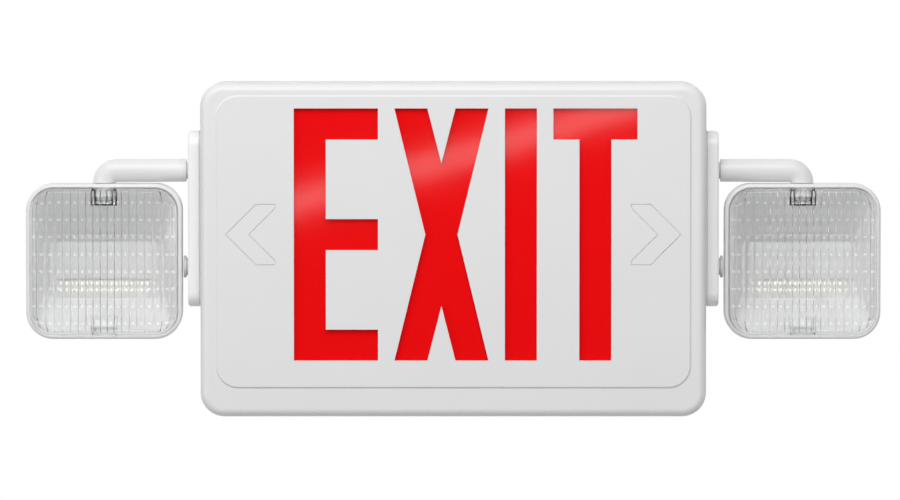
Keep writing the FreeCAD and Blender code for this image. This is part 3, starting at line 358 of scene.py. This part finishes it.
def add_block(bm, middle, wide, deep, high):
    """A block with rounded edges."""
    size = Matrix.Diagonal((wide, deep, high, 1))
    made = bmesh.ops.create_cube(bm, size=1, matrix=Matrix.Translation(middle) @ size)
    edges = list({edge for vert in made["verts"] for edge in vert.link_edges})
    bmesh.ops.bevel(bm, geom=edges, offset=LATCH_EDGE, segments=EDGE_STEPS, profile=0.5,
                    affect="EDGES", material=-1)


for side in SIDES:
    low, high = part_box("lamp_lens_" + side)
    middle = Vector(((low.x + high.x) / 2, -LATCH_OUT, low.z + LATCH_UP))
    bm = bmesh.new()
    add_block(bm, middle, LATCH_WIDE, LATCH_THICK, LATCH_HIGH)
    middle.y -= LATCH_THICK
    add_block(bm, middle, LATCH_WIDE, 2 * LATCH_THICK, LATCH_BAR)
    even_normals(add_piece("lens_latch_" + side, bm, "lamp_" + side,
                           white_plastic))

# ------------------------------------------------------------- lamp lenses
# Clear polycarbonate caps with a short skirt.  Inside, upright flutes in
# rows spread the beam; the outside is smooth and polished.
FLUTES = 17
FLUTE_SPREAD = 36.5 * MM
FLUTE_WIDENING = 4.6 * MM
FLUTE_DEPTH = 0.72 * MM
FLUTE_STEPS = 12
ROWS = 8
ROW_HIGH = 10.5 * MM
ROW_START = 7.8 * MM
ROW_DEPTH = 0.7 * MM
ROW_STEPS = 8
VALLEY_SHARE = 0.4
VALLEY_POWER = 8
LENS_WALL = 1.8 * MM
LENS_CORNER = 14 * MM
LENS_ROUND = 1 * MM
LENS_WELD = 0.01 * MM
LENS_FOLD = radians(30)
ROUND_STEPS = 5
LENS_SHADOW = 0.12


def clear_polycarbonate():
    """Clear plastic that lets the lamps' light through to the reflector."""
    material, tree, shader = new_material("clear_polycarbonate", 0.03)
    shader.inputs["Base Color"].default_value = (0.98, 0.985, 0.985, 1)
    shader.inputs["Transmission Weight"].default_value = 1
    shader.inputs["IOR"].default_value = 1.5
    ray = add_node(tree, "LightPath")
    tree.links.new(between(tree, ray.outputs["Is Shadow Ray"], 1, LENS_SHADOW),
                   shader.inputs["Alpha"])
    return material


clear_plastic = clear_polycarbonate()


def clamp(value, limit):
    """Keep a value within a limit on either side of 0."""
    return max(-limit, min(limit, value))


def cushion(cells):
    """Fall from the middle of a cell, 0, to a steep valley at its edges, 1."""
    off_middle = 2 * (cells % 1) - 1
    return (1 - VALLEY_SHARE) * off_middle ** 2 + VALLEY_SHARE * off_middle ** VALLEY_POWER


def grow_rim(verts, core_w, core_h, radius, out):
    """Set a closed rim at a radius round the straight core of a rounded rectangle."""
    for vert in verts:
        core = Vector((clamp(vert.co.x, core_w), 0, clamp(vert.co.z, core_h)))
        away = Vector((vert.co.x, 0, vert.co.z)) - core
        vert.co = core + away.normalized() * radius
        vert.co.y = -out


def lens_mesh(low, high):
    """The cap: a field of pillows inside, drawn on round its skirt to a smooth outside."""
    bm = bmesh.new()
    middle = Vector(((low.x + high.x) / 2, 0, (low.z + high.z) / 2))
    half_w = (high.x - low.x) / 2 - LENS_WALL
    half_h = (high.z - low.z) / 2 - LENS_WALL
    front, back = -low.y, -high.y
    corner = LENS_CORNER - LENS_WALL
    core_w, core_h = half_w - corner, half_h - corner
    first_row = half_h + LENS_WALL - ROW_START

    # The grid has one cell more on each side than there are flutes and rows.
    wide_cells, high_cells = FLUTES + 2, ROWS + 2
    field = bmesh.ops.create_grid(bm, x_segments=wide_cells * FLUTE_STEPS,
                                  y_segments=high_cells * ROW_STEPS, size=1)["verts"]
    for vert in field:
        turn = vert.co.x * wide_cells / FLUTES
        line = (1 - vert.co.y) * high_cells / 2 - 1
        across = clamp(FLUTE_SPREAD * turn + FLUTE_WIDENING * turn ** 3, half_w)
        up = clamp(first_row - line * ROW_HIGH, half_h)
        over_x = max(abs(across) - core_w, 0) / corner
        over_z = max(abs(up) - core_h, 0) / corner
        pinch_x = over_x * (sqrt(1 - over_z ** 2 / 2) - 1) * corner
        pinch_z = over_z * (sqrt(1 - over_x ** 2 / 2) - 1) * corner
        flute = cushion(FLUTES * (turn + 1) / 2) if abs(turn) < 1 else 1
        relief = FLUTE_DEPTH * flute + ROW_DEPTH * cushion((first_row - up) / ROW_HIGH)
        vert.co = Vector((across + (pinch_x if across > 0 else -pinch_x),
                          relief - front + LENS_WALL,
                          up + (pinch_z if up > 0 else -pinch_z)))
    bmesh.ops.remove_doubles(bm, verts=bm.verts, dist=LENS_WELD)

    # The rim goes back along the skirt, out to its face and round to the front.
    rim = [line for line in bm.edges if line.is_boundary]
    stations = [(corner, back), (LENS_CORNER, back)]
    for step in range(ROUND_STEPS + 1):
        angle = step / ROUND_STEPS * pi / 2
        stations.append((LENS_CORNER - LENS_ROUND * (1 - cos(angle)),
                         front - LENS_ROUND * (1 - sin(angle))))
    stations.append((LENS_CORNER - 2 * LENS_ROUND, front))
    for radius, out in stations:
        made = bmesh.ops.extrude_edge_only(bm, edges=rim)["geom"]
        grow_rim([item for item in made if isinstance(item, bmesh.types.BMVert)],
                 core_w, core_h, radius, out)
        rim = [item for item in made if isinstance(item, bmesh.types.BMEdge)
               and item.is_boundary]
    bmesh.ops.contextual_create(bm, geom=rim)
    bmesh.ops.translate(bm, verts=bm.verts, vec=middle)
    bmesh.ops.recalc_face_normals(bm, faces=bm.faces)
    return bm


for side in SIDES:
    piece = add_piece("ribbed_lens_" + side, lens_mesh(*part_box("lamp_lens_" + side)),
                      "lamp_" + side, clear_plastic, ["lamp_lens_" + side])
    piece.data.set_sharp_from_angle(angle=LENS_FOLD)
    even_normals(piece)

# ------------------------------------------------------------------- studio
# Soft lamps above and at both sides, a thin one in front that lays a pale band
# across the red, and an even room, paler behind the sign.  The white backdrop
# shows only to the camera, in mirrors and through clear plastic.
ROOM_LIGHT = 0.38
ROOM_BEHIND = 1.3 * ROOM_LIGHT
GLOSSY_SHARE = 0.1
world = bpy.data.worlds.new("studio")
bpy.context.scene.world = world
world.use_nodes = True
tree = world.node_tree
backdrop = tree.nodes["Background"]
backdrop.inputs["Color"].default_value = (1, 1, 1, 1)
ray = add_node(tree, "LightPath")
glossy_ray = ray.outputs["Is Glossy Ray"]
place = add_node(tree, "TexCoord")
direction = add_node(tree, "SeparateXYZ")
tree.links.new(place.outputs["Generated"], direction.inputs["Vector"])
behind = maths(tree, "GREATER_THAN", direction.outputs["Y"], 0)
room = maths(tree, "MULTIPLY", between(tree, behind, ROOM_LIGHT, ROOM_BEHIND),
             between(tree, glossy_ray, 1, GLOSSY_SHARE))
sharp_ray = maths(tree, "MAXIMUM", glossy_ray, ray.outputs["Is Transmission Ray"])
seen = maths(tree, "MAXIMUM", ray.outputs["Is Camera Ray"],
             maths(tree, "MULTIPLY", sharp_ray, behind))
level = add_node(tree, "Mix")
level.inputs["B"].default_value = 1
tree.links.new(seen, level.inputs["Factor"])
tree.links.new(room, level.inputs["A"])
tree.links.new(level.outputs["Result"], backdrop.inputs["Strength"])


def softbox(name, place, width, height, power, roll=0):
    """An area lamp that faces the middle of the sign; the roll turns it on its axis."""
    light = bpy.data.lights.new(name, "AREA")
    light.shape = "RECTANGLE"
    light.size = width
    light.size_y = height
    light.energy = power
    lamp = bpy.data.objects.new(name, light)
    turn = (-Vector(place)).to_track_quat("-Z", "Y").to_matrix().to_4x4()
    lamp.matrix_world = Matrix.Translation(place) @ turn @ Matrix.Rotation(roll, 4, "Z")
    bpy.context.scene.collection.objects.link(lamp)


softbox("key_above", (-0.15, -1.2, 1.15), 1.3, 0.8, 17.5)
softbox("fill_left", (-2.0, -1.4, 0.1), 0.8, 1.2, 10)
softbox("fill_right", (1.2, -2.2, -0.5), 0.8, 1.0, 6)
softbox("strip_front", (0, -5.05, -0.114), 0.8, 0.028, 0.24, radians(16))

VIEW_UP = radians(2.75)
VIEW_FAR = 4
VIEW_AIM = Vector((-0.00202, -0.049, 0.0002))
FRAME_WIDTH = 0.5433
SENSOR = 36
CLIP_FAR = 50
towards = Vector((0, -cos(VIEW_UP), sin(VIEW_UP)))
camera_data = bpy.data.cameras.new("camera")
camera_data.sensor_width = SENSOR
camera_data.lens = SENSOR * VIEW_FAR / FRAME_WIDTH
camera_data.clip_end = CLIP_FAR
camera = bpy.data.objects.new("camera", camera_data)
camera.location = VIEW_AIM + towards * VIEW_FAR
camera.rotation_euler = (-towards).to_track_quat("-Z", "Y").to_euler()
bpy.context.scene.collection.objects.link(camera)
bpy.context.scene.camera = camera
bpy.context.scene.view_settings.view_transform = "Standard"
